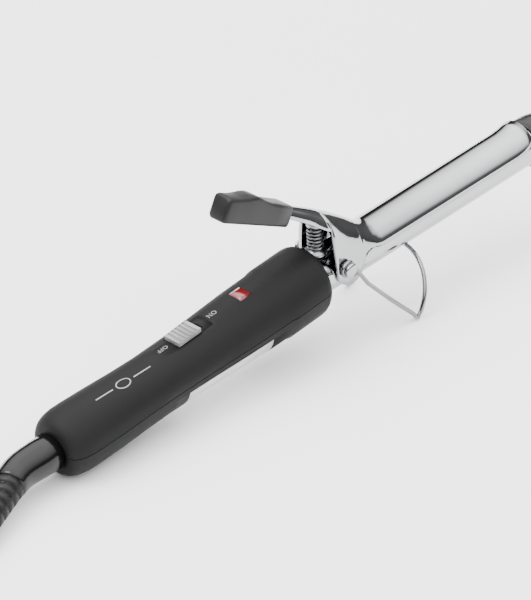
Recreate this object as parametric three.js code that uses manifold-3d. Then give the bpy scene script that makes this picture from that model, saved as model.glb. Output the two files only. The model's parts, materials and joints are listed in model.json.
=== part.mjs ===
// Curling iron with a spring-loaded clip, a fold-away wire stand and a swivel cord.
//
// Millimetres. The iron is designed in its own frame: X along the barrel towards the tip,
// Y across, Z up on the side of the clip and the switch, the barrel's axis on X. It then
// leans on the two feet of its stand and on the rear of its handle, as it stands on a table.

import * as THREE from 'three';
import { mergeVertices } from 'three/addons/utils/BufferGeometryUtils.js';
import Module from 'manifold-3d';

const wasm = await Module();
wasm.setup();

// ---------------------------------------------------------------- driving dimensions

const gap = 0.3; // clearance between neighbours that don't move
const runGap = 0.4; // clearance between pieces that slide or turn

const barrelRadius = 9.5;
const barrelWall = 0.9;
const barrelEnd = 122; // open end of the barrel, measured from the clip's pivot
const barrelTail = 34; // length of barrel held inside the handle

const handleFront = -10;
const handleLength = 142;
const handleWall = 2;
const handleRoom = 6; // from the barrel's surface to the outside of the handle's collar
const handleFrontRadius = barrelRadius + handleRoom;
const handleWaistRadius = handleFrontRadius - 2.6;
const handleRearRadius = handleFrontRadius - 1.6;
const handleDroop = 5.4; // how far the handle's rear end sinks below the barrel's axis
const collarLength = 23; // proud front collar of the handle
const collarStep = 0.5;

const clipThickness = 0.9;
const clipSetback = 2.5; // from the barrel's open end back to the clip's free end
const clipEnd = barrelEnd - clipSetback;
const clipCover = 74; // half of the jaw's wrap around the barrel, in degrees
const clipFlare = 1.8; // lift of the jaw's free end
const pivotHeight = 4;
const earRadius = 7.9;
const earCentre = [3.9, 2.2];
const leverEnd = -52;

const padLength = 38;
const padHeight = 9;
const padHalfWidth = 5.6;

const rivetRadius = 1.5;
const rivetHeadRadius = 3.2;
const rivetHeadHeight = 1.7;

const standWire = 0.95; // radius of the stand's wire
const standFoot = [32.9, 19.5, -33.2];
const standArchHeight = 25.7;

const tipLength = 20;
const tipRadius = 10.4;

const sliderLength = 12;
const sliderWidth = 8;
const sliderTravel = 6;
const sliderCentre = -81;
const lensSize = [5.4, 6.4];
const lensCentre = -49.2;
const labelStart = -91;
const labelLength = 45;
const labelCover = 78; // half of the label's wrap around the underside, in degrees

const screwPlaces = [-102, -133];
const screwShank = 1.2;
const screwHead = 2.6;

const neckRadius = 6.3;
const capRadius = 7.6;
const capStraight = 13;
const capBend = 10;
const reliefLength = 38;
const cordRadius = 3;

const coilPitch = 6.1;
const coilLayers = 5;
const coilColumns = 2;
const coilMeanRadius = 27;
const tieThickness = 0.6;

const plugLength = 35;
const plugHalfWidth = 13;
const plugHalfHeight = 6.85;
const pinLength = 19;
const pinRadius = 2;
const pinSpacing = 19;
const pinRoot = 8; // length of a pin held inside the plug
const pinClearance = 0.15;

// ---------------------------------------------------------------- materials

function finish(color, roughness, metalness) {
  return new THREE.MeshStandardMaterial({ color, roughness, metalness });
}

const chrome = finish(0xd8d8da, 0.12, 1);
const softBlack = finish(0x1d1d1e, 0.62, 0);
const glossBlack = finish(0x0d0d0e, 0.18, 0);
const padBlack = finish(0x242424, 0.45, 0);
const rubberBlack = finish(0x161616, 0.7, 0);
const silverPlastic = finish(0x9b9b9d, 0.4, 0);
const labelSilver = finish(0xc9c9cb, 0.4, 0.3);
const redLens = finish(0x8c1418, 0.2, 0);
const lampGlass = finish(0xe8d8cc, 0.1, 0);
const aluminium = finish(0xb9babd, 0.4, 1);
const ceramic = finish(0x8f8a80, 0.8, 0);
const phenolic = finish(0x5a3a28, 0.6, 0);
const steel = finish(0x8a8a8c, 0.35, 1);
const brass = finish(0xb99b5a, 0.35, 1);
const wireRed = finish(0xa02020, 0.5, 0);
const wireBlue = finish(0x2a4a9a, 0.5, 0);

// ---------------------------------------------------------------- solid tools

// Turns a list of points and triangles into a closed geometry that faces out.
function closed(points, triangles) {
  let volume = 0;
  for (const [a, b, c] of triangles) {
    const cross = new THREE.Vector3().crossVectors(points[b], points[c]);
    volume += points[a].dot(cross);
  }
  const turned = volume < 0 ? triangles.map(([a, b, c]) => [a, c, b]) : triangles;
  const geometry = new THREE.BufferGeometry();
  geometry.setAttribute(
    'position',
    new THREE.Float32BufferAttribute(points.flatMap((p) => [p.x, p.y, p.z]), 3),
  );
  geometry.setIndex(turned.flat());
  return geometry;
}

// Triangles that close a flat ring of points, whatever its outline.
function capTriangles(ring, offset) {
  const normal = new THREE.Vector3();
  ring.forEach((p, i) => {
    const q = ring[(i + 1) % ring.length];
    normal.add(new THREE.Vector3().crossVectors(p, q));
  });
  normal.normalize();
  const u = new THREE.Vector3(0, 1, 0);
  if (Math.abs(normal.y) > 0.9) {
    u.set(1, 0, 0);
  }
  u.addScaledVector(normal, -u.dot(normal)).normalize();
  const v = new THREE.Vector3().crossVectors(normal, u);
  const outline = ring.map((p) => new THREE.Vector2(p.dot(u), p.dot(v)));
  return THREE.ShapeUtils.triangulateShape(outline, []).map((t) => t.map((i) => i + offset));
}

// Skins a row of rings that all have the same number of points.
function loft(rings) {
  const count = rings[0].length;
  const points = rings.flat();
  const triangles = [];
  for (let i = 0; i + 1 < rings.length; i += 1) {
    for (let j = 0; j < count; j += 1) {
      const a = i * count + j;
      const b = i * count + ((j + 1) % count);
      triangles.push([a, b, b + count], [a, b + count, a + count]);
    }
  }
  const start = capTriangles(rings[0], 0).map(([a, b, c]) => [a, c, b]);
  const end = capTriangles(rings[rings.length - 1], (rings.length - 1) * count);
  return closed(points, [...triangles, ...start, ...end]);
}

// A body turned about X from a closed outline of [x, radius] points.
function turned(outline, segments = 32) {
  const profile = outline.map(([x, r]) => new THREE.Vector2(r, x));
  if (outline[0][1] > 0) {
    profile.push(profile[0].clone());
  }
  const geometry = new THREE.LatheGeometry(profile, segments);
  geometry.rotateZ(-Math.PI / 2);
  return outward(geometry);
}

// The same about an upright axis.
function turnedUpright(outline, segments = 16) {
  return turned(outline, segments).rotateY(-Math.PI / 2);
}

function welded(geometry) {
  const plain = geometry.clone();
  plain.deleteAttribute('normal');
  plain.deleteAttribute('uv');
  return mergeVertices(plain, 1e-4);
}

// Drops collapsed triangles and makes the faces point out.
function outward(geometry) {
  const plain = welded(geometry);
  const position = plain.getAttribute('position');
  const points = [];
  for (let i = 0; i < position.count; i += 1) {
    points.push(new THREE.Vector3().fromBufferAttribute(position, i));
  }
  const index = plain.getIndex().array;
  const triangles = [];
  for (let i = 0; i < index.length; i += 3) {
    const [a, b, c] = [index[i], index[i + 1], index[i + 2]];
    if (a !== b && b !== c && c !== a) {
      triangles.push([a, b, c]);
    }
  }
  return closed(points, triangles);
}

// Circles of given radii strung along a path of { at, along, radius } stops.
function strung(stops, sides = 20) {
  let side = new THREE.Vector3(0, 1, 0);
  const rings = stops.map(({ at, along, radius }) => {
    side = side.clone().addScaledVector(along, -side.dot(along)).normalize();
    const up = new THREE.Vector3().crossVectors(along, side);
    return Array.from({ length: sides }, (_, i) => {
      const angle = (2 * Math.PI * i) / sides;
      return at.clone()
        .addScaledVector(side, radius * Math.cos(angle))
        .addScaledVector(up, radius * Math.sin(angle));
    });
  });
  return loft(rings);
}

// A round wire along a curve.
function wire(curve, radius, steps, sides = 8) {
  const section = new THREE.Shape();
  for (let i = 0; i < sides; i += 1) {
    const angle = (2 * Math.PI * i) / sides;
    const place = [radius * Math.cos(angle), radius * Math.sin(angle)];
    if (i === 0) {
      section.moveTo(...place);
    } else {
      section.lineTo(...place);
    }
  }
  section.closePath();
  return outward(new THREE.ExtrudeGeometry(section, { steps, extrudePath: curve }));
}

function vectors(list) {
  return list.map((p) => new THREE.Vector3(...p));
}

function smoothCurve(list) {
  return new THREE.CatmullRomCurve3(vectors(list), false, 'centripetal');
}

function box(low, high) {
  const size = high.map((value, i) => value - low[i]);
  const geometry = new THREE.BoxGeometry(...size);
  geometry.translate(...low.map((value, i) => value + size[i] / 2));
  return geometry;
}

function post(radius, low, high, x, y, segments = 18) {
  const geometry = new THREE.CylinderGeometry(radius, radius, high - low, segments);
  geometry.rotateX(Math.PI / 2);
  geometry.translate(x, y, (low + high) / 2);
  return geometry;
}

function crossPin(radius, low, high, x, z, segments = 16) {
  const geometry = new THREE.CylinderGeometry(radius, radius, high - low, segments);
  geometry.translate(x, (low + high) / 2, z);
  return geometry;
}

function solid(geometry) {
  const plain = welded(geometry);
  return new wasm.Manifold(new wasm.Mesh({
    numProp: 3,
    vertProperties: new Float32Array(plain.getAttribute('position').array),
    triVerts: new Uint32Array(plain.getIndex().array),
  }));
}

function geometryOf(body) {
  const mesh = body.getMesh();
  const geometry = new THREE.BufferGeometry();
  geometry.setAttribute('position', new THREE.BufferAttribute(mesh.vertProperties, 3));
  geometry.setIndex(new THREE.BufferAttribute(mesh.triVerts, 1));
  return geometry;
}

function cut(geometry, ...tools) {
  return geometryOf(tools.reduce((body, tool) => body.subtract(solid(tool)), solid(geometry)));
}

function join(geometry, ...others) {
  return geometryOf(others.reduce((body, other) => body.add(solid(other)), solid(geometry)));
}

function common(first, second) {
  return geometryOf(solid(first).intersect(solid(second)));
}

// Straight-line reading of a table of [x, value] rows, sorted by falling x.
function table(rows) {
  return (x) => {
    if (x >= rows[0][0]) {
      return rows[0][1];
    }
    for (let i = 0; i + 1 < rows.length; i += 1) {
      const [x0, v0] = rows[i];
      const [x1, v1] = rows[i + 1];
      if (x >= x1) {
        return v0 + ((v1 - v0) * (x0 - x)) / (x0 - x1);
      }
    }
    return rows[rows.length - 1][1];
  };
}

// ---------------------------------------------------------------- scene graph

const curlingIron = new THREE.Group();
const iron = new THREE.Group();
curlingIron.add(iron);

function piece(name, geometry, material, parent = iron) {
  const mesh = new THREE.Mesh(geometry, material);
  mesh.name = name;
  parent.add(mesh);
  return mesh;
}

// ---------------------------------------------------------------- handle

const handleRear = handleFront - handleLength;
const bodyRadius = handleFrontRadius - collarStep;
const endWall = 3;

// The handle's centre line leaves the barrel's axis behind the front end wall and levels out.
function handleCentre(x) {
  const share = THREE.MathUtils.clamp((handleFront - endWall - x) / (handleLength - endWall), 0, 1);
  return -handleDroop * (1 - (1 - share) ** 1.6);
}

// Radius along the handle: rounded nose, proud collar, waist, rear bulge, rounded tail.
const noseRound = 5;
const tailRound = 13;
const nose = [0, 0.12, 0.3, 0.55, 0.8, 1].map((share) => {
  const sink = noseRound * (1 - Math.sin(Math.acos(1 - share)));
  return [handleFront - noseRound * share, handleFrontRadius - sink];
});
const waistPlace = handleRear + handleLength * 0.37;
const bulgePlace = handleRear + tailRound;
const bodyRun = [0, 0.25, 0.5, 0.75, 1].map((share) => {
  const x = handleFront - collarLength - 1.5 + (waistPlace - handleFront + collarLength + 1.5) * share;
  const ease = 0.5 - 0.5 * Math.cos(Math.PI * share);
  return [x, bodyRadius + (handleWaistRadius - bodyRadius) * ease];
});
const rearRun = [0.33, 0.66, 1].map((share) => {
  const ease = 0.5 - 0.5 * Math.cos(Math.PI * share);
  const radius = handleWaistRadius + (handleRearRadius - handleWaistRadius) * ease;
  return [waistPlace + (bulgePlace - waistPlace) * share, radius];
});
const tailEnd = capRadius + 1;
const tail = [0.35, 0.6, 0.78, 0.9, 0.97, 1].map((share) => {
  const fall = (handleRearRadius - tailEnd) * (1 - Math.sqrt(1 - share ** 3));
  return [bulgePlace + (handleRear - bulgePlace) * share, handleRearRadius - fall];
});
const handleRows = [
  ...nose,
  [handleFront - collarLength, handleFrontRadius],
  ...bodyRun,
  ...rearRun,
  ...tail,
];
const handleRadius = table(handleRows);

// Inside of the shells: end walls with a round opening, and an even wall between.
const barrelOpening = barrelRadius + gap;
const neckOpening = neckRadius + runGap;

function handleInside(x) {
  if (x >= handleFront - endWall) {
    return barrelOpening;
  }
  if (x <= handleRear + endWall) {
    return neckOpening;
  }
  return handleRadius(x) - handleWall;
}

const wallStep = 0.4; // slope of the step where an end wall begins
const shellPlaces = [
  ...handleRows.map(([x]) => x),
  handleFront - endWall,
  handleFront - endWall - wallStep,
  handleRear + endWall,
  handleRear + endWall + wallStep,
].sort((a, b) => b - a);

// A band of the handle's wall between two angles, from one place along it to another.
function wallBand(places, outer, inner, fromAngle, toAngle, steps) {
  return loft(places.map((x) => {
    const centre = handleCentre(x);
    const ring = [];
    for (let i = 0; i <= steps; i += 1) {
      const angle = fromAngle(outer(x)) + ((toAngle(outer(x)) - fromAngle(outer(x))) * i) / steps;
      ring.push([outer(x) * Math.cos(angle), centre + outer(x) * Math.sin(angle)]);
    }
    for (let i = steps; i >= 0; i -= 1) {
      const angle = fromAngle(inner(x)) + ((toAngle(inner(x)) - fromAngle(inner(x))) * i) / steps;
      ring.push([inner(x) * Math.cos(angle), centre + inner(x) * Math.sin(angle)]);
    }
    return ring.map(([y, z]) => new THREE.Vector3(x, y, z));
  }));
}

const shellSteps = 16;
const splitAngle = (radius) => Math.asin(gap / 2 / radius);

function halfShell() {
  return wallBand(
    shellPlaces,
    handleRadius,
    handleInside,
    splitAngle,
    (radius) => Math.PI - splitAngle(radius),
    shellSteps,
  );
}

// The lower half is the upper one turned over about the handle's own centre line.
function lowerHalf() {
  return wallBand(
    shellPlaces,
    handleRadius,
    handleInside,
    (radius) => Math.PI + splitAngle(radius),
    (radius) => 2 * Math.PI - splitAngle(radius),
    shellSteps,
  );
}

// Full outside of the handle, grown or shrunk by a small amount.
function handleSkin(grow) {
  return loft(handleRows.map(([x, radius]) => Array.from({ length: 40 }, (_, i) => {
    const angle = (2 * Math.PI * i) / 40;
    const y = (radius + grow) * Math.cos(angle);
    const z = handleCentre(x) + (radius + grow) * Math.sin(angle);
    return new THREE.Vector3(x, y, z);
  })));
}

// Switch place: a frame on the handle's top whose X follows the surface.
const slotLength = sliderLength + sliderTravel + 2 * runGap;
const slotCentre = sliderCentre + sliderTravel / 2;
const topAt = (x) => handleCentre(x) + handleRadius(x);
const slopeSpan = slotLength / 2;
const switchSlope = Math.atan(
  (topAt(slotCentre + slopeSpan) - topAt(slotCentre - slopeSpan)) / (2 * slopeSpan),
);
const switchFrame = new THREE.Matrix4()
  .makeTranslation(slotCentre, 0, topAt(slotCentre))
  .multiply(new THREE.Matrix4().makeRotationY(-switchSlope));

const pocketDepth = 0.9;
const stemWidth = 3;
const stemLength = 5;
const pocket = box(
  [-slotLength / 2, -sliderWidth / 2 - runGap, -pocketDepth],
  [slotLength / 2, sliderWidth / 2 + runGap, 6],
);
const stemSlot = box(
  [-(stemLength + sliderTravel) / 2 - runGap, -stemWidth / 2 - runGap, -6],
  [(stemLength + sliderTravel) / 2 + runGap, stemWidth / 2 + runGap, 1],
);
const lensWindow = box(
  [lensCentre - lensSize[0] / 2 - gap, -lensSize[1] / 2 - gap, 5],
  [lensCentre + lensSize[0] / 2 + gap, lensSize[1] / 2 + gap, 20],
);

// Screw posts: the lower shell's is counterbored from below, the upper one takes the thread.
const postRadius = 4.3;
const pilotRadius = screwShank + gap;
const counterbore = screwHead + gap;
const headHeight = 1.6;
const counterboreDepth = 5;
const screwBite = 8;

const underAt = (x) => handleCentre(x) - handleRadius(x);
const upperPosts = screwPlaces.map((x) => common(
  post(postRadius, handleCentre(x) + gap / 2, 30, x, 0),
  handleSkin(-handleWall / 2),
));
const upperPilots = screwPlaces.map((x) => (
  post(pilotRadius, handleCentre(x) - 1, handleCentre(x) + screwBite + gap, x, 0)
));
const lowerPosts = screwPlaces.map((x) => common(
  post(postRadius, -40, handleCentre(x) - gap / 2, x, 0),
  handleSkin(-handleWall / 2),
));
const lowerBores = screwPlaces.flatMap((x) => [
  post(pilotRadius, -40, 0, x, 0),
  post(counterbore, -40, underAt(x) + counterboreDepth, x, 0),
]);

piece(
  'handle_upper_shell',
  cut(
    join(halfShell(), ...upperPosts),
    pocket.clone().applyMatrix4(switchFrame),
    stemSlot.clone().applyMatrix4(switchFrame),
    lensWindow,
    ...upperPilots,
  ),
  softBlack,
);

// Rating label: a blank foil wrapped round the underside in a shallow bed of its own.
const labelThickness = 0.3;
const labelPlaces = [0, 0.33, 0.66, 1].map((share) => labelStart + labelLength * (1 - share));
const labelAngles = (margin) => {
  const half = THREE.MathUtils.degToRad(labelCover);
  const down = -Math.PI / 2;
  return [
    (radius) => down - half - margin / radius,
    (radius) => down + half + margin / radius,
  ];
};
const labelBed = wallBand(
  [labelPlaces[0] + gap, ...labelPlaces.slice(1, 3), labelPlaces[3] - gap],
  (x) => handleRadius(x) + 2,
  (x) => handleRadius(x) - labelThickness - gap - 0.05,
  ...labelAngles(gap),
  shellSteps,
);
piece(
  'handle_lower_shell',
  cut(join(lowerHalf(), ...lowerPosts), ...lowerBores, labelBed),
  softBlack,
);
piece(
  'rating_label',
  wallBand(
    labelPlaces,
    (x) => handleRadius(x) - 0.05,
    (x) => handleRadius(x) - 0.05 - labelThickness,
    ...labelAngles(0),
    shellSteps,
  ),
  labelSilver,
);

screwPlaces.forEach((x, i) => {
  const seat = underAt(x) + counterboreDepth - gap;
  const head = [
    [seat - headHeight, 0],
    [seat - headHeight, screwHead * 0.7],
    [seat - headHeight * 0.5, screwHead],
    [seat, screwHead],
    [seat, screwShank],
    [handleCentre(x) + screwBite - 1, screwShank],
    [handleCentre(x) + screwBite, 0],
  ];
  const screw = turnedUpright(head);
  const drive = box([-1.6, -0.35, seat - 3], [1.6, 0.35, seat - headHeight * 0.45]);
  const across = drive.clone().rotateZ(Math.PI / 2);
  piece(`handle_screw_${i + 1}`, cut(screw, drive, across).translate(x, 0, 0), steel);
});

// ---------------------------------------------------------------- switch and lamp

const switchGroup = new THREE.Group();
switchGroup.applyMatrix4(switchFrame);
iron.add(switchGroup);

// The slider stands in its OFF place, at the rear end of its slot.
const sliderRear = -slotLength / 2 + runGap;
const sliderTop = 1.3;
const ribCount = 6;
const ribDepth = 0.5;
const sliderFloor = -pocketDepth + gap;
const stemCentre = sliderRear + sliderLength / 2;
const sliderBlank = join(
  box(
    [sliderRear, -sliderWidth / 2, sliderFloor],
    [sliderRear + sliderLength, sliderWidth / 2, sliderTop],
  ),
  box(
    [stemCentre - stemLength / 2, -stemWidth / 2, -5.2],
    [stemCentre + stemLength / 2, stemWidth / 2, sliderTop - 0.2],
  ),
);
const ribPitch = sliderLength / ribCount;
const ribGrooves = Array.from({ length: ribCount - 1 }, (_, i) => {
  const middle = sliderRear + ribPitch * (i + 1);
  return box(
    [middle - ribPitch * 0.22, -sliderWidth, sliderTop - ribDepth],
    [middle + ribPitch * 0.22, sliderWidth, sliderTop + 1],
  );
});
piece('switch_slider', cut(sliderBlank, ...ribGrooves), silverPlastic, switchGroup);

const switchTop = -3.4;
const switchBottom = -9.6;
const switchLength = 17;
const switchWidth = 8;
piece(
  'slide_switch_body',
  cut(
    box(
      [-switchLength / 2, -switchWidth / 2, switchBottom],
      [switchLength / 2, switchWidth / 2, switchTop],
    ),
    box(
      [-(stemLength + sliderTravel) / 2 - runGap, -stemWidth / 2 - runGap, -5.2 - runGap],
      [(stemLength + sliderTravel) / 2 + runGap, stemWidth / 2 + runGap, switchTop + 1],
    ),
  ),
  glossBlack,
  switchGroup,
);
const lugThickness = 0.6;
const lugLength = 4;
[-1, 0, 1].forEach((place, i) => {
  const x = place * 5;
  piece(
    `switch_lug_${i + 1}`,
    box(
      [x - 1.2, -lugThickness / 2, switchBottom - gap - lugLength],
      [x + 1.2, lugThickness / 2, switchBottom - gap],
    ),
    brass,
    switchGroup,
  );
});

// Indicator lens: a red window flush with the handle, held by a flange from inside.
const lensInside = handleCentre(lensCentre) + handleRadius(lensCentre) - handleWall;
const lensDrop = 1.3; // how far the curved wall's inside falls away at the flange's edges
const lensBlock = box(
  [lensCentre - lensSize[0] / 2, -lensSize[1] / 2, lensInside - lensDrop],
  [lensCentre + lensSize[0] / 2, lensSize[1] / 2, 22],
);
const lensFlange = box(
  [lensCentre - lensSize[0] / 2 - 1.1, -lensSize[1] / 2 - 1.1, lensInside - lensDrop - 0.8],
  [lensCentre + lensSize[0] / 2 + 1.1, lensSize[1] / 2 + 1.1, lensInside - lensDrop],
);
piece('indicator_lens', join(common(lensBlock, handleSkin(0.15)), lensFlange), redLens);

const lampRadius = 1.9;
const lampTop = lensInside - lensDrop - 0.8 - gap;
const lampCapsule = new THREE.CapsuleGeometry(lampRadius, 6, 3, 12);
lampCapsule.rotateZ(Math.PI / 2);
lampCapsule.translate(lensCentre, 0, lampTop - lampRadius);
piece('indicator_lamp', outward(lampCapsule), lampGlass);

// ---------------------------------------------------------------- barrel and heater

const boreRadius = barrelRadius - barrelWall;
const barrelStart = handleFront - barrelTail;
const pivotHole = rivetRadius + gap;
piece(
  'barrel_tube',
  cut(
    turned([
      [barrelStart, boreRadius],
      [barrelStart, barrelRadius],
      [barrelEnd, barrelRadius],
      [barrelEnd, boreRadius],
    ], 40),
    crossPin(pivotHole, -20, 20, 0, pivotHeight),
  ),
  chrome,
);

// Bushes that centre the hot tube in the handle.
[
  ['front_bush', handleFront - 8, 10],
  ['rear_bush', barrelStart + 10, 8],
].forEach(([name, from, length]) => {
  const outside = Math.min(handleInside(from), handleInside(from - length)) - gap;
  const lift = handleCentre(from - length / 2);
  const bush = turned([
    [from - length, barrelRadius + gap],
    [from - length, outside + lift],
    [from, outside + lift],
    [from, barrelRadius + gap],
  ]);
  piece(name, bush, phenolic);
});

// Two aluminium half-rounds press the flat heater between them inside the barrel.
const heaterStart = 14;
const heaterEnd = barrelEnd - 16;
const heaterHalf = 1.9; // half of the slot between the half-rounds
const electrodeThickness = 0.5;
const blockRadius = boreRadius - gap;
function heaterBlock(side) {
  const rings = [heaterStart, heaterEnd].map((x) => {
    const start = Math.asin(heaterHalf / blockRadius);
    return Array.from({ length: 17 }, (_, i) => {
      const angle = start + ((Math.PI - 2 * start) * i) / 16;
      return new THREE.Vector3(
        x,
        blockRadius * Math.cos(angle),
        side * blockRadius * Math.sin(angle),
      );
    });
  });
  return loft(rings);
}
piece('heater_block_upper', heaterBlock(1), aluminium);
piece('heater_block_lower', heaterBlock(-1), aluminium);

const stoneHalf = heaterHalf - 2 * gap - electrodeThickness;
const electrodeWidth = 11;
[['upper', 1], ['lower', -1]].forEach(([name, side]) => {
  const near = side * (stoneHalf + gap);
  const far = side * (stoneHalf + gap + electrodeThickness);
  piece(
    `electrode_${name}`,
    box(
      [heaterStart - 6, -electrodeWidth / 2, Math.min(near, far)],
      [heaterEnd - 3, electrodeWidth / 2, Math.max(near, far)],
    ),
    aluminium,
  );
});
const stoneCount = 3;
const stoneRun = (heaterEnd - 5 - heaterStart) / stoneCount;
for (let i = 0; i < stoneCount; i += 1) {
  const from = heaterStart + 1 + stoneRun * i;
  piece(
    `heating_stone_${i + 1}`,
    box([from, -5, -stoneHalf], [from + stoneRun - 1.5, 5, stoneHalf]),
    ceramic,
  );
}

// Cool tip: a plug of gloss plastic whose stem fits the barrel's bore.
const tipStart = barrelEnd + gap;
const tipStem = 10;
const tipFace = 4.5; // radius of the flat at its end
const tipCurve = [0, 0.25, 0.5, 0.7, 0.85, 0.95, 1].map((share) => {
  const taper = tipRadius - (tipRadius - tipFace) * share ** 3.2;
  return [tipStart + 3 + (tipLength - 3) * share, taper];
});
piece(
  'cool_tip',
  turned([
    [tipStart - tipStem, 0],
    [tipStart - tipStem, boreRadius - gap],
    [tipStart, boreRadius - gap],
    [tipStart, tipRadius - 0.5],
    [tipStart + 0.5, tipRadius],
    ...tipCurve,
    [tipStart + tipLength, 0],
  ], 32),
  glossBlack,
);

// Thermal fuse, held against the rear end of the heater's leads.
const fuseRadius = 1.8;
const fusePlace = [-30, 0, -3.5];
const fuse = new THREE.CapsuleGeometry(fuseRadius, 8, 3, 12);
fuse.rotateZ(Math.PI / 2);
fuse.translate(...fusePlace);
piece('thermal_fuse', outward(fuse), steel);

// ---------------------------------------------------------------- clip

const clipInner = barrelRadius + runGap;
const clipOuter = clipInner + clipThickness;
const flareStart = clipEnd - 11;
const leverCrown = [
  [24, clipOuter],
  [20.5, clipOuter + 1.2],
  [16.7, 14.5],
  [8.9, 20.5],
  [1, 26.3],
  [-8.9, 32.5],
  [-18.7, 38.2],
  [-35, 47.2],
  [leverEnd, 56.6],
];
const crownHeight = table(leverCrown);
// Depth of the arch from its crown down to where its sides stand upright.
const archDepth = table([
  [24, clipOuter], [16.7, 12.6], [8.9, 16.5], [1, 21.5], [-2.5, 19.5], [-5.5, 14.5],
  [-9, 10], [-13.5, 6.8], [-22.8, 5.4], [-35, 4.2], [leverEnd, 3.6],
]);
const archHalfWidth = table([
  [-4.1, clipOuter], [-6.5, 9.3], [-9, 7.8], [-13.5, 6.3], [-22.8, 4.9],
  [-35, 4.2], [leverEnd, 3.8],
]);
const jawEdge = clipOuter * Math.cos(THREE.MathUtils.degToRad(clipCover));
const rimHeight = table([
  [-5.2, 22.6], [-13.5, 29.1], [-22.8, 35.5], [-35, 43.8], [leverEnd, 53.9],
]);
const earRear = earCentre[0] - earRadius;
const earFront = earCentre[0] + earRadius;
const notchEdge = table([
  [23, jawEdge], [20, jawEdge + 0.9], [16.5, jawEdge + 1.8], [14, jawEdge + 1.2], [earFront, 2.2],
]);

// Height of the sheet's lower edge along the clip.
function edgeHeight(x) {
  if (x >= flareStart) {
    return jawEdge + ((x - flareStart) / (clipEnd - flareStart)) ** 2 * 3.4;
  }
  if (x > earFront) {
    return notchEdge(x);
  }
  if (x > earRear) {
    const reach = (x - earCentre[0]) / earRadius;
    return earCentre[1] - earRadius * Math.sqrt(Math.max(0, 1 - reach * reach));
  }
  return rimHeight(x);
}

function crownAt(x) {
  if (x <= flareStart) {
    return crownHeight(x);
  }
  return clipOuter + clipFlare * ((x - flareStart) / (clipEnd - flareStart)) ** 2;
}

// Half of the sheet's outline at one place: up the side and over to the crown.
function archLine(x, drop) {
  const depth = x > 24 ? crownAt(x) : archDepth(x);
  const half = x > 24 ? clipOuter : archHalfWidth(x);
  const middle = crownAt(x) - depth;
  const low = edgeHeight(x) - drop;
  const line = [];
  if (low < middle) {
    for (let i = 0; i < 8; i += 1) {
      line.push([half, low + ((middle - low) * i) / 8]);
    }
  }
  const from = low < middle ? 0 : Math.asin((low - middle) / depth);
  for (let i = 0; i <= 40; i += 1) {
    const angle = from + ((Math.PI / 2 - from) * i) / 40;
    line.push([half * Math.cos(angle), middle + depth * Math.sin(angle)]);
  }
  return line;
}

// Even points along the whole outline, with the direction square to it.
function archPoints(x, count, drop) {
  const right = archLine(x, drop);
  const left = right.slice(0, -1).map(([y, z]) => [-y, z]).reverse();
  const line = [...right, ...left].map(([y, z]) => new THREE.Vector2(y, z));
  const reach = [0];
  for (let i = 1; i < line.length; i += 1) {
    reach.push(reach[i - 1] + line[i].distanceTo(line[i - 1]));
  }
  return Array.from({ length: count }, (_, k) => {
    const target = (reach[reach.length - 1] * k) / (count - 1);
    let i = 1;
    while (i < line.length - 1 && reach[i] < target) {
      i += 1;
    }
    const share = (target - reach[i - 1]) / (reach[i] - reach[i - 1]);
    const at = line[i - 1].clone().lerp(line[i], share);
    const along = line[i].clone().sub(line[i - 1]).normalize();
    return { at, inward: new THREE.Vector2(-along.y, along.x) };
  });
}

const clipPlaces = [
  clipEnd, clipEnd - 3, clipEnd - 6.5, flareStart, 24, 21.5, 19, 16.5, 14, 12.6,
  earFront, earFront - 0.4, earFront - 1.6, 7, 4, 1, earRear + 1.6,
  earRear + 0.5, earRear + 0.1, earRear - 0.5, -6.5, -9, -13.5, -18, -23, -29, -37, -45, leverEnd,
];

// The clip's sheet, optionally swollen on all sides to make room for it in another piece.
function clipSheet(places, grow, count) {
  return loft(places.map((x) => {
    const points = archPoints(x, count, grow * 1.5);
    const outer = points.map(({ at, inward }) => at.clone().addScaledVector(inward, -grow));
    const inner = points.map(({ at, inward }) => (
      at.clone().addScaledVector(inward, clipThickness + grow)
    )).reverse();
    return [...outer, ...inner].map((p) => new THREE.Vector3(x, p.x, p.y));
  }));
}
piece(
  'clip',
  cut(clipSheet(clipPlaces, 0, 19), crossPin(rivetRadius + runGap, -20, 20, 0, pivotHeight)),
  chrome,
);

// Thumb pad: a moulded sleeve pushed over the end of the lever, with a humped thumb rest.
const padAngle = Math.atan2(19.6, 34.6);
const padFront = new THREE.Vector3(-24.2, 0, 37.6);
const padAlong = new THREE.Vector3(-Math.cos(padAngle), 0, Math.sin(padAngle));
const padUp = new THREE.Vector3(Math.sin(padAngle), 0, Math.cos(padAngle));
const padStops = [0, 0.01, 0.2, 0.33, 0.43, 0.51, 0.58, 0.65, 0.73, 0.83, 0.95, 0.98, 0.995, 1];
const padCorner = 1.6;
function padSection(share) {
  const at = padFront.clone().addScaledVector(padAlong, padLength * share);
  const hump = 1.9 * Math.exp(-(((share - 0.58) / 0.17) ** 2));
  const rear = THREE.MathUtils.clamp((share - 0.95) / 0.05, 0, 1);
  const tuck = 0.9 * (1 - Math.sqrt(1 - rear * rear)) + (share === 0 ? 0.2 : 0);
  const half = padHalfWidth - 1.1 * share - tuck;
  const top = padHeight / 2 + 0.6 * share + hump - tuck;
  const bottom = -padHeight / 2 - 0.9 * share + tuck;
  const corners = [[1, 1], [-1, 1], [-1, -1], [1, -1]];
  const ring = [];
  corners.forEach(([sideways, upward], corner) => {
    for (let i = 0; i <= 3; i += 1) {
      const angle = (Math.PI / 2) * (corner + i / 3);
      const y = sideways * (half - padCorner) + padCorner * Math.cos(angle);
      const edge = upward > 0 ? top : bottom;
      const z = edge - upward * padCorner + padCorner * Math.sin(angle);
      ring.push(at.clone().add(new THREE.Vector3(0, y, 0)).addScaledVector(padUp, z));
    }
  });
  return ring;
}
const leverInPad = clipSheet([-18, -23, -29, -37, -45, leverEnd - gap], gap, 19);
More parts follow.
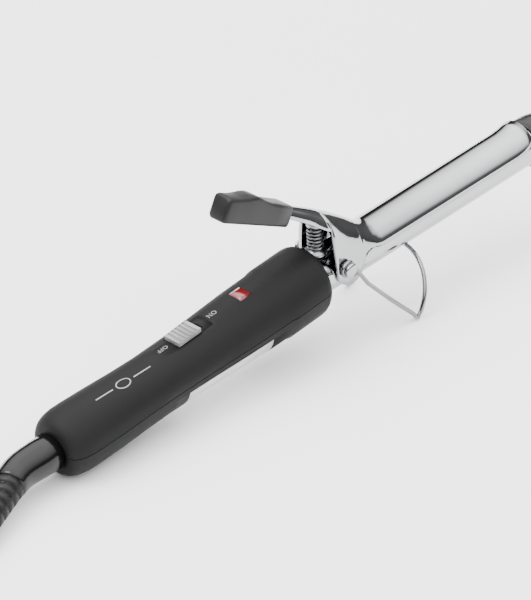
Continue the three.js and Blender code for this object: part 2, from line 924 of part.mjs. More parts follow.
piece('thumb_pad', cut(loft(padStops.map(padSection)), leverInPad), padBlack);

// Pivot rivets: each joins one ear of the clip to the barrel, and carries an eye of the stand.
const earOutside = clipOuter;
const eyeMiddle = earOutside + runGap + standWire;
const headInside = eyeMiddle + standWire + runGap;
const tailRadius = rivetRadius + 0.9;
const tailOutside = Math.sqrt(boreRadius ** 2 - (pivotHeight + tailRadius) ** 2) - gap;
const tailInside = tailOutside - 1;
[['near', -1], ['far', 1]].forEach(([name, side]) => {
  const dome = [0, 0.3, 0.6, 0.85, 1].map((share) => [
    headInside + rivetHeadHeight * (0.45 + 0.55 * share),
    rivetHeadRadius * Math.sqrt(1 - (share * 0.98) ** 2),
  ]);
  const outline = [
    [tailInside, 0],
    [tailInside, tailRadius],
    [tailOutside, tailRadius],
    [tailOutside, rivetRadius],
    [headInside, rivetRadius],
    [headInside, rivetHeadRadius],
    ...dome.slice(0, -1),
    [headInside + rivetHeadHeight, 0],
  ];
  const rivet = turned(outline, 16).rotateZ(Math.PI / 2);
  piece(`pivot_rivet_${name}`, outward(side > 0 ? rivet : rivet.rotateZ(Math.PI))
    .translate(0, 0, pivotHeight), chrome);
});

// Coil spring between a seat on the barrel and a peg under the lever's root.
const springPlace = -5.2;
const springRadius = 3.2;
const springWire = 0.5;
const springTurns = 6;
const seatTop = barrelRadius + gap + 1.3;
const pegBottom = 22.6;
piece(
  'spring_seat',
  turnedUpright([
    [barrelRadius + gap, 0],
    [barrelRadius + gap, 4.6],
    [seatTop, 4.6],
    [seatTop, 2.1],
    [seatTop + 2.4, 1.9],
    [seatTop + 2.4, 0],
  ]).translate(springPlace, 0, 0),
  steel,
);
piece(
  'spring_peg',
  turnedUpright([
    [pegBottom - 2.4, 0],
    [pegBottom - 2.4, 1.9],
    [pegBottom, 2.1],
    [pegBottom, 3.6],
    [pegBottom + 1, 3.6],
    [pegBottom + 3.4, 1.6],
    [pegBottom + 3.4, 0],
  ]).translate(springPlace, 0, 0),
  steel,
);
const springLow = seatTop + springWire + gap;
const springHigh = pegBottom - springWire - gap;
class SpringLine extends THREE.Curve {
  getPoint(share, target = new THREE.Vector3()) {
    const angle = 2 * Math.PI * springTurns * share;
    return target.set(
      springPlace + springRadius * Math.cos(angle),
      springRadius * Math.sin(angle),
      springLow + (springHigh - springLow) * share,
    );
  }
}
piece('clip_spring', wire(new SpringLine(), springWire, springTurns * 10, 5), steel);

// ---------------------------------------------------------------- wire stand

// Each leg hooks round a rivet, drops to a foot, and an arch joins the feet under the barrel.
const archFoot = new THREE.Vector3(standFoot[0], 0, standFoot[2]);
const crownZ = -(barrelRadius + standWire + gap);
const archRise = crownZ - standFoot[2];
const archRun = Math.sqrt(standArchHeight ** 2 - archRise ** 2);
const archUp = new THREE.Vector3(archRun, 0, archRise).normalize();
const eyeRadius = rivetRadius + runGap + standWire;
const eyeSweep = 250;

function standSide(side) {
  const legAngle = Math.atan2(standFoot[2] - pivotHeight, standFoot[0]);
  const eye = [];
  for (let turn = eyeSweep; turn >= 0; turn -= 25) {
    const angle = legAngle + Math.PI / 2 + THREE.MathUtils.degToRad(turn);
    eye.push([
      eyeRadius * Math.cos(angle),
      side * eyeMiddle,
      pivotHeight + eyeRadius * Math.sin(angle),
    ]);
  }
  const kneeShare = 0.3;
  const knee = [
    standFoot[0] * kneeShare,
    side * (eyeMiddle + 1.4),
    pivotHeight + (standFoot[2] - pivotHeight) * kneeShare,
  ];
  const lowLeg = [
    standFoot[0] * 0.93,
    side * (standFoot[1] - 0.4),
    pivotHeight + (standFoot[2] - pivotHeight) * 0.93,
  ];
  const foot = [standFoot[0], side * standFoot[1], standFoot[2]];
  return [...eye, knee, lowLeg, foot];
}
const standArch = [];
for (let i = 1; i < 12; i += 1) {
  const angle = (Math.PI * i) / 12;
  const bulge = standFoot[1] + 0.9;
  const at = archFoot.clone().addScaledVector(archUp, standArchHeight * Math.sin(angle) ** 0.9);
  standArch.push([at.x, -bulge * Math.cos(angle), at.z]);
}
const standPoints = [...standSide(-1), ...standArch, ...standSide(1).reverse()];
const standLine = smoothCurve(standPoints);
const standSteps = 2 * (standPoints.length - 1);
const standStops = Array.from({ length: standSteps + 1 }, (_, i) => ({
  at: standLine.getPoint(i / standSteps),
  along: standLine.getTangent(i / standSteps),
  radius: standWire,
}));
piece('wire_stand', strung(standStops, 8), chrome);

// ---------------------------------------------------------------- swivel cord entry

const swivelCentre = new THREE.Vector3(handleRear, 0, handleCentre(handleRear));
const backwards = new THREE.Vector3(-1, 0, 0);
const bent = new THREE.Vector3(-0.905, -0.42, -0.06).normalize();
const swivelAt = (distance) => swivelCentre.clone().addScaledVector(backwards, distance);
const bendStart = swivelAt(capStraight);

// Path of the cap and the strain relief: straight out of the handle, then bent aside.
function cordway(distance) {
  if (distance <= capStraight) {
    return { at: swivelAt(distance), along: backwards.clone() };
  }
  const share = Math.min(1, (distance - capStraight) / capBend);
  const along = backwards.clone().lerp(bent, share).normalize();
  const chord = backwards.clone().lerp(bent, share / 2).normalize();
  const inBend = Math.min(distance - capStraight, capBend);
  const at = bendStart.clone().addScaledVector(chord, inBend);
  at.addScaledVector(bent, Math.max(0, distance - capStraight - capBend));
  return { at, along };
}
const stop = (distance, radius) => ({ ...cordway(distance), radius });

const neckInside = endWall + runGap;
const flangeThickness = 2;
const capLength = capStraight + capBend + 3;
const capEndRadius = 6.5;
piece(
  'swivel_cap',
  strung([
    stop(-neckInside - flangeThickness, neckRadius + 2.4),
    stop(-neckInside, neckRadius + 2.4),
    stop(-neckInside, neckRadius),
    stop(runGap, neckRadius),
    stop(runGap, capRadius - 0.3),
    stop(runGap + 0.4, capRadius),
    ...[0.3, 0.5, 0.62, 0.74, 0.86, 0.95].map((share) => (
      stop(capLength * share, capRadius + (capEndRadius - capRadius) * share ** 2)
    )),
    stop(capLength, capEndRadius - 0.4),
  ], 20),
  glossBlack,
);

// Strain relief: a tapering rubber sleeve cut by ring grooves so that it bends.
const reliefStart = capLength + gap;
const reliefRings = 9;
const reliefBig = 6.2;
const reliefSmall = 3.8;
const grooveDepth = 0.8;
const reliefStops = [];
for (let i = 0; i < reliefRings; i += 1) {
  const pitch = reliefLength / reliefRings;
  [[0.02, 0], [0.6, 0], [0.64, 1], [0.98, 1]].forEach(([share, groove]) => {
    const along = pitch * (i + share);
    const radius = reliefBig + ((reliefSmall - reliefBig) * along) / reliefLength;
    reliefStops.push(stop(reliefStart + along, radius - grooveDepth * groove));
  });
}
const cordExit = cordway(reliefStart + reliefLength * 0.998 + gap);

// Turning contacts: a drum on the cord's end and two blades that press on its rings.
const drumStart = handleRear + neckInside + flangeThickness + gap;
const drumLength = 9;
const drumZ = swivelCentre.z;
piece(
  'contact_drum',
  turned([
    [drumStart, 0],
    [drumStart, 4.2],
    [drumStart + 2.5, 4.2],
    [drumStart + 2.8, 3.4],
    [drumStart + 5, 3.4],
    [drumStart + 5.3, 4.2],
    [drumStart + drumLength, 4.2],
    [drumStart + drumLength, 0],
  ], 24).translate(0, 0, drumZ),
  brass,
);
[['live', 1], ['neutral', -1]].forEach(([name, side]) => {
  const inner = side * (4.2 + gap);
  const outer = side * (4.2 + gap + 0.6);
  piece(
    `contact_blade_${name}`,
    box(
      [drumStart + 0.5, Math.min(inner, outer), drumZ - 2.5],
      [drumStart + drumLength + 1, Math.max(inner, outer), drumZ + 2.5],
    ),
    brass,
  );
});

// ---------------------------------------------------------------- inner wiring

const leadRadius = 0.8;
const bladeEnd = drumStart + drumLength + 1;
const lugX = (place) => slotCentre + place * 5;
const leads = [
  ['lead_live', wireRed, [
    [bladeEnd + 1.2, 4.8, drumZ], [bladeEnd + 8, 6.5, drumZ], [-118, 6.6, -2.5],
    [-104, 7, -2.5], [-96, 6, -3], [-90, 3.4, -2.6], [lugX(-1) - 0.5, 1.6, -2.2],
  ]],
  ['lead_neutral', wireBlue, [
    [bladeEnd + 1.2, -4.8, drumZ], [bladeEnd + 8, -6.5, drumZ], [-118, -6.6, -3],
    [-104, -7, -3], [-86, -6.5, -4], [-62, -5.5, -4.5], [-47, -5, -3],
    [-20, -4.5, -2.5], [0, -4, -2.4], [6, -3.5, -1.9],
  ]],
  ['lead_switched', wireRed, [
    [lugX(1) + 0.8, 1.8, -2.4], [-66, 3.5, -3.6], [-58, 4, -3.4], [-48, 4.2, -1.5],
    [-26, 3.6, 0.4], [0, 2.6, 0.8], [5.5, 2.6, 1.9],
  ]],
];
leads.forEach(([name, material, route]) => {
  piece(name, wire(smoothCurve(route), leadRadius, 18, 6), material);
});

// ---------------------------------------------------------------- standing on the table

// The lean at which the handle's underside and the feet of the stand touch one plane.
function heightAt(x, z, lean) {
  return x * Math.sin(lean) + z * Math.cos(lean);
}
function handleLow(lean) {
  return Math.min(...handleRows.map(([x]) => heightAt(x, underAt(x), lean)));
}
let leanLow = 0;
let leanHigh = 0.4;
for (let i = 0; i < 40; i += 1) {
  const lean = (leanLow + leanHigh) / 2;
  const footLow = heightAt(standFoot[0], standFoot[2], lean) - standWire;
  if (footLow < handleLow(lean)) {
    leanLow = lean;
  } else {
    leanHigh = lean;
  }
}
iron.rotation.y = -(leanLow + leanHigh) / 2;
iron.updateMatrixWorld(true);
const stance = new THREE.Box3().setFromObject(iron, true);
const middle = stance.getCenter(new THREE.Vector3());
iron.position.set(-middle.x, 0, -stance.min.z);
iron.updateMatrixWorld(true);

// The strain relief belongs to the cord, so the object's middle is found without it.
piece('strain_relief', strung(reliefStops, 14), rubberBlack);

// ---------------------------------------------------------------- cord and plug

// The cord leaves the strain relief, comes down to the table and runs to its coil.
const exitAt = cordExit.at.clone().applyMatrix4(iron.matrixWorld);
const exitAlong = cordExit.along.clone().transformDirection(iron.matrixWorld);
const exitLead = exitAt.clone().addScaledVector(exitAlong, 6);
const cordRoute = [
  [-206, -25.2, 3.3],
  [-215.5, -28.6, 3.05],
  [-226.4, -32.9, 3.05],
];
const cordLine = new THREE.CatmullRomCurve3(
  [exitAt, exitLead, ...vectors(cordRoute)],
  false,
  'centripetal',
);
piece('cord_tube', wire(cordLine, cordRadius, 8, 10), rubberBlack, curlingIron);

// Coil: turns two abreast in five layers, lying flat and held by a tie.
const coilCentre = [-256, -12];
const coilInside = coilMeanRadius - (coilPitch * coilColumns) / 2;
const coilOutside = coilMeanRadius + (coilPitch * coilColumns) / 2;
const coilBottom = tieThickness + gap;
const coilTop = coilBottom + coilPitch * coilLayers;
piece(
  'cord_coil',
  turnedUpright([
    [coilBottom, coilInside],
    [coilBottom, coilOutside],
    [coilTop, coilOutside],
    [coilTop, coilInside],
  ], 36).translate(...coilCentre, 0),
  rubberBlack,
  curlingIron,
);

const tieWidth = 9;
const tieInner = Math.sqrt(coilInside ** 2 - (tieWidth / 2) ** 2) - 2 * gap;
const tieOuter = [tieInner - tieThickness, coilOutside + gap + tieThickness];
const tie = cut(
  box([tieOuter[0], -tieWidth / 2, 0], [tieOuter[1], tieWidth / 2, coilTop + gap + tieThickness]),
  box(
    [tieOuter[0] + tieThickness, -tieWidth, tieThickness],
    [tieOuter[1] - tieThickness, tieWidth, coilTop + gap],
  ),
);
piece('cord_tie', tie, padBlack, curlingIron).position.set(...coilCentre, 0);

// Tail of the cord: it climbs onto the coil, turns in over it and ends in the plug on top.
const plugFloor = coilTop + gap;
const tailRoute = [
  [-268.6, -34.7, 34.75],
  [-276.7, -29.4, 34.75],
  [-281.8, -21.4, 34.75],
  [-283.5, -12, 34.8],
  [-280.6, -2.4, 35.5],
  [-274.5, 4, 37.2],
  [-268.6, 6, 38.4],
  [-266.3, 6, 38.55],
];
piece('cord_tail', wire(smoothCurve(tailRoute), cordRadius, 14, 10), rubberBlack, curlingIron);

// Flat two-pin plug, lying on the coil on its broad side with its pins towards the iron.
const plug = new THREE.Group();
plug.position.set(-266, 6, plugFloor + plugHalfHeight);
curlingIron.add(plug);
const plugRows = [
  [0, 4.3, 4.3, 1],
  [3, 4.4, 4.4, 1],
  [9, 4.9, 4.9, 1],
  [11, 5.6, 5.4, 0.95],
  [13, 7.2, 6, 0.8],
  [18, 9.4, 6.5, 0.65],
  [24, 11.4, plugHalfHeight, 0.6],
  [31, 12.7, plugHalfHeight, 0.6],
  [plugLength - 0.6, plugHalfWidth, plugHalfHeight, 0.6],
  [plugLength, plugHalfWidth - 0.6, plugHalfHeight - 0.6, 0.6],
];
const plugBlank = loft(plugRows.map(([x, halfWidth, halfHeight, power]) => (
  Array.from({ length: 24 }, (_, i) => {
    const across = Math.cos((Math.PI * (i + 0.5)) / 12);
    const up = Math.sin((Math.PI * (i + 0.5)) / 12);
    return new THREE.Vector3(
      x,
      halfWidth * Math.sign(across) * Math.abs(across) ** power,
      halfHeight * Math.sign(up) * Math.abs(up) ** power,
    );
  })
)));
const pinHole = pinRadius + pinClearance;
const pinPlaces = [-pinSpacing / 2, pinSpacing / 2];
const pinHoles = pinPlaces.map((y) => turned([
  [plugLength - pinRoot - gap, 0],
  [plugLength - pinRoot - gap, pinHole],
  [plugLength + 1, pinHole],
  [plugLength + 1, 0],
], 20).translate(0, y, 0));
piece('plug_body', cut(plugBlank, ...pinHoles), rubberBlack, plug);
pinPlaces.forEach((y, i) => {
  const pin = turned([
    [plugLength - pinRoot, 0],
    [plugLength - pinRoot, pinRadius],
    [plugLength + pinLength - 1.2, pinRadius],
    [plugLength + pinLength, pinRadius * 0.6],
    [plugLength + pinLength, 0],
  ], 14);
  piece(`plug_pin_${i + 1}`, pin.translate(0, y, 0), steel, plug);
});

export default curlingIron;
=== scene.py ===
"""Curling iron with a spring clip, a fold-away wire stand and a swivel cord, dressed around its frame."""

import json
import math

import bpy
from mathutils import Matrix, Vector

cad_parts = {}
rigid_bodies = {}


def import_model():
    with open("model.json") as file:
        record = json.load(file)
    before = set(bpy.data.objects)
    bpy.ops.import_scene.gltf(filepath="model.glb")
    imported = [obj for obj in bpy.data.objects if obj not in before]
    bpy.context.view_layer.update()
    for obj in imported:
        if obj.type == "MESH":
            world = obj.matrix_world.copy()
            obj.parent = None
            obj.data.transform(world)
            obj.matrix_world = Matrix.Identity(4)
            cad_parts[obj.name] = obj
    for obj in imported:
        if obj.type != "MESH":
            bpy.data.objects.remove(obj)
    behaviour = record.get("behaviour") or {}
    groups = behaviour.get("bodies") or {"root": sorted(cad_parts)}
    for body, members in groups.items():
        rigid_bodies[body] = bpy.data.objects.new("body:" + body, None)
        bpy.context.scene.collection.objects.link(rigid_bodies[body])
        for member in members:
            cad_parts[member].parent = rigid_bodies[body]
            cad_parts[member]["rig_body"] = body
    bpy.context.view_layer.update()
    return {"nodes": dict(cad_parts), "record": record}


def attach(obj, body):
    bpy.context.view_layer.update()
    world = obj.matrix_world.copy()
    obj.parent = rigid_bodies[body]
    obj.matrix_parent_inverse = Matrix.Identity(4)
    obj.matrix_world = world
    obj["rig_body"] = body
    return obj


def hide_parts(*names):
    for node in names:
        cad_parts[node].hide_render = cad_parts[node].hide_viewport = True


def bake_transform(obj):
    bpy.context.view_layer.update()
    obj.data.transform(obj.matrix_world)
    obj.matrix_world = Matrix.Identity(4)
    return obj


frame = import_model()

# ------------------------------------------------------------ camera
# A long lens from the near side, above and behind the handle, turned a little about its own axis.
camera_place = Vector((-0.81976, -0.75442, 0.67538))
camera_aim = Vector((-0.00214, 0.01379, 0.01859))
camera_roll = math.radians(0.81)

camera_data = bpy.data.cameras.new("camera")
camera_data.sensor_width = 36
camera_data.lens = 193.4
camera_data.clip_start = 0.05
camera = bpy.data.objects.new("camera", camera_data)
bpy.context.scene.collection.objects.link(camera)
facing = (camera_aim - camera_place).to_track_quat("-Z", "Y").to_matrix().to_4x4()
camera.matrix_world = (
    Matrix.Translation(camera_place) @ facing @ Matrix.Rotation(camera_roll, 4, "Z")
)
bpy.context.scene.camera = camera

# ------------------------------------------------------------ cord
# Round two-core flex in black PVC. It comes out of the strain relief, drops to the table, and is
# wound away into a coil of ten turns, two abreast, whose last turn runs out to the plug.
MM = 0.001
cord_diameter = 6 * MM
loose_points = [
    (-192.1, -19.4, 5.1),
    (-197.7, -22.1, 4.25),
    (-206, -25.2, 3.3),
    (-215.5, -28.6, 3.05),
    (-225.8, -32.9, 3.05),
    (-235.6, -37.4, 3.2),
]
tail_points = [
    (-268.6, -34.7, 34.75),
    (-276.7, -29.4, 34.75),
    (-281.8, -21.4, 34.75),
    (-283.5, -12, 34.8),
    (-280.6, -2.4, 35.5),
    (-274.5, 4, 37.2),
    (-268.6, 6, 38.4),
    (-265.8, 6, 38.55),
]
coil_centre = Vector((-256, -12, 0))
coil_columns = (30.05, 23.95)
coil_floor = 3.95
coil_pitch = 6.1
turn_places = [
    (coil_columns[0], 0),
    (coil_columns[1], 0),
    (coil_columns[1], 1),
    (coil_columns[0], 1),
    (coil_columns[0], 2),
    (coil_columns[1], 2),
    (coil_columns[1], 3),
    (coil_columns[0], 3),
    (coil_columns[0], 4),
    (coil_columns[1], 4),
]
coil_start = math.radians(-69)
turn_points = 30
shift_share = 0.16


def eased(t):
    t = min(1, max(0, t))
    return t * t * (3 - 2 * t)


coil_points = []
for step in range(len(turn_places) * turn_points):
    travelled = step / turn_points
    turn = int(travelled)
    here = turn_places[turn]
    after = turn_places[min(turn + 1, len(turn_places) - 1)]
    moved = eased((travelled - turn - (1 - shift_share)) / shift_share)
    ring = here[0] + (after[0] - here[0]) * moved
    layer = here[1] + (after[1] - here[1]) * moved
    angle = coil_start - travelled * 2 * math.pi
    coil_points.append((
        coil_centre.x + ring * math.cos(angle),
        coil_centre.y + ring * math.sin(angle),
        coil_floor + coil_pitch * layer,
    ))

route = [Vector(p) * MM for p in loose_points + coil_points + tail_points]


def smooth_line(points, spacing):
    """Points about as far apart as spacing, along a smooth curve through the given ones."""
    dense = []
    for i in range(len(points) - 1):
        before = points[max(i - 1, 0)]
        after = points[min(i + 2, len(points) - 1)]
        start, stop = points[i], points[i + 1]
        span = (stop - start).length
        pull_start = (stop - before).normalized() * span
        pull_stop = (after - start).normalized() * span
        count = max(2, int(span / spacing) + 1)
        for k in range(count):
            t = k / count
            dense.append(
                start * (2 * t**3 - 3 * t**2 + 1)
                + pull_start * (t**3 - 2 * t**2 + t)
                + stop * (-2 * t**3 + 3 * t**2)
                + pull_stop * (t**3 - t**2)
            )
    dense.append(points[-1])
    return dense


def tube(name, points, radius):
    """A round tube of a given radius along a line of points, as a mesh with closed ends."""
    curve = bpy.data.curves.new(name, "CURVE")
    curve.dimensions = "3D"
    curve.bevel_depth = radius
    curve.bevel_resolution = 3
    curve.use_fill_caps = True
    spline = curve.splines.new("POLY")
    spline.points.add(len(points) - 1)
    for point, place in zip(spline.points, points):
        point.co = (*place, 1)
    made = bpy.data.objects.new(name, curve)
    bpy.context.scene.collection.objects.link(made)
    bpy.ops.object.select_all(action="DESELECT")
    made.select_set(True)
    bpy.context.view_layer.objects.active = made
    bpy.ops.object.convert(target="MESH")
    bpy.ops.object.shade_smooth()
    return bpy.context.view_layer.objects.active


line_spacing = 3 * MM
cord_line = smooth_line(route, line_spacing)
cord = tube("mains_cord", cord_line, cord_diameter / 2)


def linear(colour):
    """An sRGB hex colour as linear RGBA."""
    channels = [int(colour[i:i + 2], 16) / 255 for i in (0, 2, 4)]
    return (*[c / 12.92 if c <= 0.04045 else ((c + 0.055) / 1.055) ** 2.4 for c in channels], 1)


def add(tree, kind, links=None, **settings):
    """Adds a node, sets its properties and sockets, and links sockets from other nodes."""
    node = tree.nodes.new(kind)
    for key, value in settings.items():
        if hasattr(node, key):
            setattr(node, key, value)
        else:
            node.inputs[key.replace("_", " ")].default_value = value
    for socket, source in (links or {}).items():
        tree.links.new(source, node.inputs[socket])
    return node


def dress(piece, material):
    """Gives a piece its one material."""
    piece.data.materials.clear()
    piece.data.materials.append(material)


def surface(name, dark, light, rough, grain_mm, depth_mm, cloud_mm=20.0, metallic=0.0, **sockets):
    """A material whose tone and gloss drift slowly over it, with a fine grain of its own.

    The drift has patches cloud_mm across and the grain bumps grain_mm across and depth_mm deep.
    """
    material = bpy.data.materials.new(name)
    material.use_nodes = True
    tree = material.node_tree
    tree.nodes.clear()
    place = add(tree, "ShaderNodeTexCoord").outputs["Object"]
    cloud = add(tree, "ShaderNodeTexNoise", {"Vector": place}, Scale=1 / (cloud_mm * MM), Detail=4.0)
    grain = add(tree, "ShaderNodeTexNoise", {"Vector": place}, Scale=1 / (grain_mm * MM), Detail=2.0)
    tone = add(tree, "ShaderNodeValToRGB", {"Fac": cloud.outputs["Fac"]})
    tone.color_ramp.elements[0].position = 0.3
    tone.color_ramp.elements[0].color = linear(dark)
    tone.color_ramp.elements[1].position = 0.7
    tone.color_ramp.elements[1].color = linear(light)
    gloss = add(
        tree, "ShaderNodeMapRange", {"Value": cloud.outputs["Fac"]},
        From_Min=0.3, From_Max=0.7, To_Min=rough[0], To_Max=rough[1],
    )
    bump = add(
        tree, "ShaderNodeBump", {"Height": grain.outputs["Fac"]}, Strength=0.3, Distance=depth_mm * MM,
    )
    shader = add(
        tree, "ShaderNodeBsdfPrincipled",
        {
            "Base Color": tone.outputs["Color"],
            "Roughness": gloss.outputs["Result"],
            "Normal": bump.outputs["Normal"],
        },
        Metallic=metallic, **sockets,
    )
    add(tree, "ShaderNodeOutputMaterial", {"Surface": shader.outputs["BSDF"]})
    return material


# PVC flex sheath, extruded: a soft sheen with a faint unevenness along its skin.
pvc_flex = surface(
    "pvc_flex", "0a0a0b", "101011", (0.38, 0.5), 1.2, 0.1, cloud_mm=9.0, Specular_IOR_Level=0.3,
)
dress(cord, pvc_flex)
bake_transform(cord)
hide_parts("cord_tube", "cord_coil", "cord_tail")

# ------------------------------------------------------------ finished copies of the frame's nodes
# Most hard pieces keep the shape of their node: a copy of it is merged, its faces are smoothed up
# to their real edges, and it stands in the node's place.


def smoothed(node, name, degrees=30):
    """A merged and smoothed copy of a node, standing for it on the same body."""
    source = frame["nodes"][node]
    mesh = source.data.copy()
    piece = bpy.data.objects.new(name, mesh)
    bpy.context.scene.collection.objects.link(piece)
    bpy.ops.object.select_all(action="DESELECT")
    piece.select_set(True)
    bpy.context.view_layer.objects.active = piece
    bpy.ops.object.mode_set(mode="EDIT")
    bpy.ops.mesh.select_all(action="SELECT")
    bpy.ops.mesh.remove_doubles(threshold=0.000005)
    bpy.ops.object.mode_set(mode="OBJECT")
    bpy.ops.object.shade_smooth_by_angle(angle=math.radians(degrees))
    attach(piece, source["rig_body"])
    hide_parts(node)
    return piece


# ------------------------------------------------------------ handle shells
# Two moulded ABS half shells with a matt soft-touch coat, screwed together from below. The parting
# line runs along both sides, and the front end is a proud collar.
# Soft-touch coat on moulded ABS: near black and matt, with a spark-eroded grain that kills glare.
soft_touch = surface(
    "soft_touch_abs", "0f0f10", "131314", (0.55, 0.66), 0.35, 0.06, cloud_mm=24.0,
    Specular_IOR_Level=0.14,
)
for node in ("handle_upper_shell", "handle_lower_shell"):
    dress(smoothed(node, node.replace("handle", "grip"), 28), soft_touch)

# ------------------------------------------------------------ printed marks
# Pad-printed pale grey marks on the top of the handle: ON and OFF beside the two ends of the
# switch's travel, and a plain ring between two bars behind it. The ink lies on the curved shell.
joints = {joint["name"]: joint for joint in frame["record"]["behaviour"]["joints"]}
pivot_height = 4 * MM  # the clip's pivot above the barrel's axis
iron_along = Vector(joints["cord_swivel_turn"]["axis"])
iron_across = Vector((0, 1, 0))
iron_up = iron_along.cross(iron_across)
iron_middle = Vector(joints["clip_hinge"]["pos_m"]) - iron_up * pivot_height
iron_frame = Matrix.Translation(iron_middle) @ Matrix(
    (iron_along, iron_across, iron_up)
).transposed().to_4x4()
handle_middle = -3 * MM  # the handle's centre line below the barrel's axis, about its middle
mark_radius = 14 * MM
beyond_shell = 30 * MM
ink_thickness = 0.02 * MM
letter_share = 0.7  # height of a capital letter in its text size
# Pad-printing ink: a thin flat film, pale grey and matt, with the shell's grain under it.
ink = surface("pad_print_ink", "767677", "8a8a8b", (0.5, 0.6), 0.4, 0.01, cloud_mm=3.0, IOR=1.5)


def laid_on_shell(piece, along, around):
    """Wraps flat work round the handle and prints it on the upper shell.

    Its x runs towards the rear from along, and its y towards the near side from around degrees.
    """
    shell = bpy.data.objects["grip_upper_shell"]
    for vertex in piece.data.vertices:
        angle = math.radians(around) + vertex.co.y / mark_radius
        outward = iron_frame.to_3x3() @ Vector((0, -math.sin(angle), math.cos(angle)))
        middle = iron_frame @ Vector((along * MM - vertex.co.x, 0, handle_middle))
        _, spot, normal, _ = shell.ray_cast(middle + outward * beyond_shell, -outward)
        vertex.co = spot + normal * (2 * ink_thickness + vertex.co.z)
    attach(piece, "iron_body")
    dress(piece, ink)


def word(text, height_mm, along, around):
    """One printed word, with its letters' tops towards the near side."""
    bpy.ops.object.text_add()
    made = bpy.context.active_object
    made.name = "mark_" + text.lower()
    made.data.body = text
    made.data.size = height_mm * MM / letter_share
    made.data.align_x = "CENTER"
    made.data.align_y = "CENTER"
    made.data.extrude = ink_thickness
    made.data.resolution_u = 4
    bpy.ops.object.select_all(action="DESELECT")
    made.select_set(True)
    bpy.context.view_layer.objects.active = made
    bpy.ops.object.convert(target="MESH")
    laid_on_shell(bpy.context.view_layer.objects.active, along, around)


def ribbon(name, line, width, along, around):
    """A flat printed stroke of even width along a line of [x, y] points in millimetres."""
    count = len(line)
    closed = line[0] == line[-1]
    if closed:
        line, count = line[:-1], count - 1
    points = []
    for i, (x, y) in enumerate(line):
        before = line[i - 1] if closed or i else line[i]
        after = line[(i + 1) % count] if closed or i + 1 < count else line[i]
        run = Vector((after[0] - before[0], after[1] - before[1])).normalized()
        for side, level in ((1, 1), (-1, 1), (-1, -1), (1, -1)):
            points.append((
                (x - run.y * side * width / 2) * MM,
                (y + run.x * side * width / 2) * MM,
                level * ink_thickness,
            ))
    faces = []
    for i in range(count if closed else count - 1):
        a, b = 4 * i, 4 * ((i + 1) % count)
        faces += [(a + k, a + (k + 1) % 4, b + (k + 1) % 4, b + k) for k in range(4)]
    if not closed:
        faces += [(3, 2, 1, 0), tuple(4 * count - 4 + k for k in range(4))]
    mesh = bpy.data.meshes.new(name)
    mesh.from_pydata(points, [], faces)
    made = bpy.data.objects.new(name, mesh)
    bpy.context.scene.collection.objects.link(made)
    laid_on_shell(made, along, around)


letter_height = 2.1
word("ON", letter_height, -65.2, 0)
word("OFF", letter_height, -92.4, 0)
mark_along, mark_around = -117, 18
ring_size = (3.4, 2.4)
ring_steps = 40
ring_line = [
    (
        ring_size[0] * math.cos(2 * math.pi * step / ring_steps),
        ring_size[1] * math.sin(2 * math.pi * step / ring_steps),
    )
    for step in range(ring_steps)
]
ribbon("mark_ring", ring_line + ring_line[:1], 0.5, mark_along, mark_around)
bar_start, bar_step = 5.5, 1.5
for side, name in ((-1, "mark_bar_front"), (1, "mark_bar_rear")):
    bar_line = [(side * (bar_start + bar_step * step), 0) for step in range(7)]
    ribbon(name, bar_line, 0.6, mark_along, mark_around)

# ------------------------------------------------------------ rating label
# A blank self-adhesive label of satin silver foil, wrapped round the underside of the handle.
# Satin foil: aluminised polyester, which gives a soft even sheen without a mirror image.
foil = surface("satin_silver_foil", "b9b9bb", "cdcdcf", (0.28, 0.4), 0.5, 0.02, metallic=0.6)
dress(smoothed("rating_label", "foil_label"), foil)

# ------------------------------------------------------------ shell screws
# Two zinc-plated steel self-tapping screws, sunk into the lower shell and biting in the upper one.
# Zinc-plated steel: a bright, slightly blotchy grey.
plated_steel = surface(
    "zinc_plated_steel", "8f9194", "a5a6a8", (0.28, 0.42), 0.5, 0.03, cloud_mm=3.0, metallic=1.0,
)
for node in ("handle_screw_1", "handle_screw_2"):
    dress(smoothed(node, node.replace("handle", "shell")), plated_steel)

# ------------------------------------------------------------ slide switch
# A silver-painted ABS slider with finger ribs runs in a slot over a black switch body, whose three
# brass lugs carry the leads.
# Metallic paint on ABS: silver flake under a satin lacquer.
silver_abs = surface(
    "silver_painted_abs", "7c7c7e", "8e8e90", (0.32, 0.42), 0.3, 0.02, cloud_mm=6.0,
    metallic=0.35,
)
dress(smoothed("switch_slider", "ribbed_slider"), silver_abs)
# ABS from a polished mould: deep black with sharp highlights.
gloss_abs = surface(
    "gloss_black_abs", "060607", "09090a", (0.12, 0.2), 2.5, 0.02, cloud_mm=15.0,
    Specular_IOR_Level=0.3,
)
dress(smoothed("slide_switch_body", "switch_housing"), gloss_abs)
# Rolled sheet brass: yellow and dully bright.
sheet_brass = surface(
    "sheet_brass", "b08a45", "c69f57", (0.25, 0.38), 0.5, 0.02, cloud_mm=4.0, metallic=1.0,
)
for place in (1, 2, 3):
    dress(smoothed(f"switch_lug_{place}", f"solder_lug_{place}"), sheet_brass)

# ------------------------------------------------------------ indicator
# A small red polycarbonate lens pressed into the upper shell, with a neon lamp behind it.
# Tinted polycarbonate: a deep clear red that lights up where light passes through it.
red_lens = surface(
    "red_polycarbonate", "6d0a10", "860f16", (0.06, 0.12), 2.0, 0.02, cloud_mm=5.0,
    IOR=1.58, Coat_Weight=0.6, Transmission_Weight=0.25,
)
dress(smoothed("indicator_lens", "indicator_window"), red_lens)
# Thin clear glass bulb with a faint warm tint.
lamp_glass = surface(
    "neon_lamp_glass", "e6d3c4", "f0e2d6", (0.03, 0.06), 2.0, 0.005, IOR=1.5,
    Transmission_Weight=0.8,
)
dress(smoothed("indicator_lamp", "neon_lamp", 50), lamp_glass)

